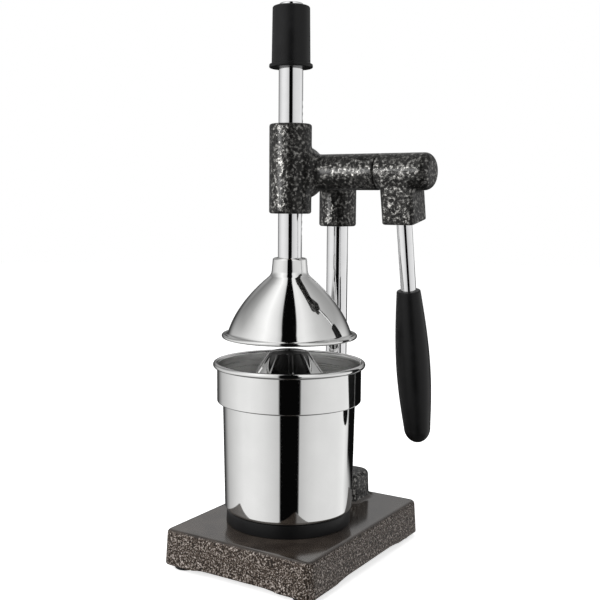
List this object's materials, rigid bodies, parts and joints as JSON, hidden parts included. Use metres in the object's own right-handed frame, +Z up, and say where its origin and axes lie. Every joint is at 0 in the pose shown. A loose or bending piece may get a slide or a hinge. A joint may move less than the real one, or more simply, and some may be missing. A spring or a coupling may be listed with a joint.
{
  "type": "lever citrus press",
  "caption": "Lever citrus press: a rack and pinion brings a polished bell down over a ridged reamer in a steel cup that slides out of a heavy base.",
  "frame": {"origin": "on the ram axis, in the plane the rubber feet stand on", "axes": "+Z up along the ram, +X towards the lever along the pinion shaft, -Y towards the user"},
  "size_m": [0.1536, 0.152, 0.371],
  "materials": {
    "hammertone_base": "brown and grey hammertone enamel, satin",
    "hammertone_head": "black and grey hammertone enamel, glossy",
    "chrome": "mirror plated",
    "stainless": "polished stainless sheet",
    "rubber": "satin black",
    "steel": "plain zinc-plated or machined",
    "black_steel": "black oxide",
    "bronze": "sintered bronze",
    "nylon": "natural"
  },
  "bodies": {
    "frame": {"base_casting": "hammertone_base", "rubber_feet": "rubber", "foot_screws": "steel", "cup_seat_ring": "rubber", "column": "chrome", "column_bolt": "steel", "column_washer": "steel", "head_casting": "hammertone_head", "housing_plug": "steel", "head_grub_screw": "black_steel", "upper_rod_bush": "bronze", "lower_rod_bush": "bronze", "shaft_inner_bush": "bronze", "shaft_outer_bush": "bronze", "thrust_washer": "nylon"},
    "lever": {"pinion_shaft": "steel", "lever_hub": "hammertone_head", "hub_grub_screw": "black_steel", "lever_rod": "chrome", "grip": "rubber"},
    "ram": {"ram_rod": "chrome", "ram_cap": "rubber", "press_bell": "stainless", "bell_hub": "steel", "bell_washer": "steel", "bell_screw": "steel"},
    "cup": {"cup": "stainless", "strainer": "stainless", "reamer": "stainless"}
  },
  "joints": [
    {"name": "lever_turn", "type": "hinge", "parent": "frame", "child": "lever", "pos_m": [0, 0.015, 0.2626], "axis": [1, 0, 0], "range_deg": [-156, 192]},
    {"name": "ram_slide", "type": "slide", "parent": "frame", "child": "ram", "axis": [0, 0, 1], "range_m": [-0.0352, 0.0286]},
    {"name": "cup_slide", "type": "slide", "parent": "frame", "child": "cup", "axis": [0, -1, 0], "range_m": [0, 0.115]}
  ],
  "couplings": [
    {"joint": "ram_slide", "follows": "lever_turn", "m_per_rad": -0.0105}
  ]
}
